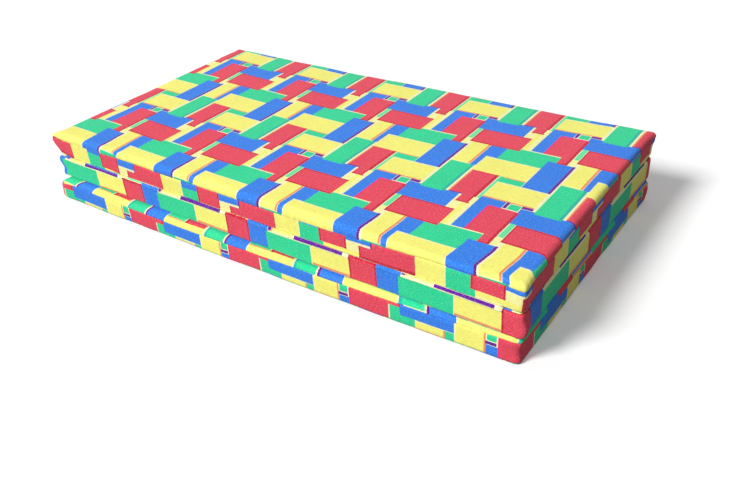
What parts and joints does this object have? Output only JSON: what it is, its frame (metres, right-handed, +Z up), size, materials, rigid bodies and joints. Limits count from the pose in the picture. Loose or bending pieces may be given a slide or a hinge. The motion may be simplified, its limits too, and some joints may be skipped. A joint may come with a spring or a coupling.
{
  "type": "folding futon mattress",
  "caption": "Folding futon mattress: foam panels in zipped, block-printed fabric covers, joined by fabric strips and stacked in a Z fold.",
  "frame": {"origin": "on the floor, under the middle of the folded stack", "axes": "+X along the panels, away from the zipped end; -Y the front, where the middle and top panels are joined; +Z up"},
  "size_m": [1.2065, 0.6348, 0.174],
  "materials": {
    "print_fabric": "matte",
    "foam": "matte",
    "zip_tape": "matte",
    "zip_coil": "satin",
    "zip_metal": "satin"
  },
  "bodies": {
    "bottom_panel": {"bottom_foam_core": "foam", "bottom_upper_sheet": "print_fabric", "bottom_lower_sheet": "print_fabric", "bottom_side_band": "print_fabric", "bottom_zip_band": "print_fabric", "bottom_zip_tapes": "zip_tape", "bottom_zip_chain": "zip_coil", "bottom_zip_stops": "zip_metal", "back_fold_strip": "print_fabric"},
    "bottom_slider": {"bottom_zip_slider": "zip_metal"},
    "bottom_pull": {"bottom_zip_pull": "zip_metal"},
    "middle_panel": {"middle_foam_core": "foam", "middle_upper_sheet": "print_fabric", "middle_lower_sheet": "print_fabric", "middle_side_band": "print_fabric", "middle_zip_band": "print_fabric", "middle_zip_tapes": "zip_tape", "middle_zip_chain": "zip_coil", "middle_zip_stops": "zip_metal", "front_fold_strip": "print_fabric"},
    "middle_slider": {"middle_zip_slider": "zip_metal"},
    "middle_pull": {"middle_zip_pull": "zip_metal"},
    "top_panel": {"top_foam_core": "foam", "top_upper_sheet": "print_fabric", "top_lower_sheet": "print_fabric", "top_side_band": "print_fabric", "top_zip_band": "print_fabric", "top_zip_tapes": "zip_tape", "top_zip_chain": "zip_coil", "top_zip_stops": "zip_metal"},
    "top_slider": {"top_zip_slider": "zip_metal"},
    "top_pull": {"top_zip_pull": "zip_metal"}
  },
  "joints": [
    {"name": "back_fold", "type": "hinge", "parent": "bottom_panel", "child": "middle_panel", "pos_m": [0, 0.318, 0.056], "axis": [-1, 0, 0], "range_deg": [0, 180], "deforming": ["back_fold_strip"]},
    {"name": "front_fold", "type": "hinge", "parent": "middle_panel", "child": "top_panel", "pos_m": [0, -0.318, 0.112], "axis": [1, 0, 0], "range_deg": [0, 180], "deforming": ["front_fold_strip"]},
    {"name": "bottom_zip_run", "type": "slide", "parent": "bottom_panel", "child": "bottom_slider", "axis": [0, 1, 0], "range_m": [0, 0.5485], "deforming": ["bottom_zip_chain"]},
    {"name": "bottom_pull_swing", "type": "hinge", "parent": "bottom_slider", "child": "bottom_pull", "pos_m": [-0.60455, -0.27425, 0.0225], "axis": [0, 0, 1], "range_deg": [0, 170]},
    {"name": "middle_zip_run", "type": "slide", "parent": "middle_panel", "child": "middle_slider", "axis": [0, 1, 0], "range_m": [0, 0.5485], "deforming": ["middle_zip_chain"]},
    {"name": "middle_pull_swing", "type": "hinge", "parent": "middle_slider", "child": "middle_pull", "pos_m": [-0.60455, -0.27425, 0.084], "axis": [0, 0, 1], "range_deg": [0, 170]},
    {"name": "top_zip_run", "type": "slide", "parent": "top_panel", "child": "top_slider", "axis": [0, 1, 0], "range_m": [0, 0.5485], "deforming": ["top_zip_chain"]},
    {"name": "top_pull_swing", "type": "hinge", "parent": "top_slider", "child": "top_pull", "pos_m": [-0.60455, -0.27425, 0.1345], "axis": [0, 0, 1], "range_deg": [0, 170]}
  ]
}
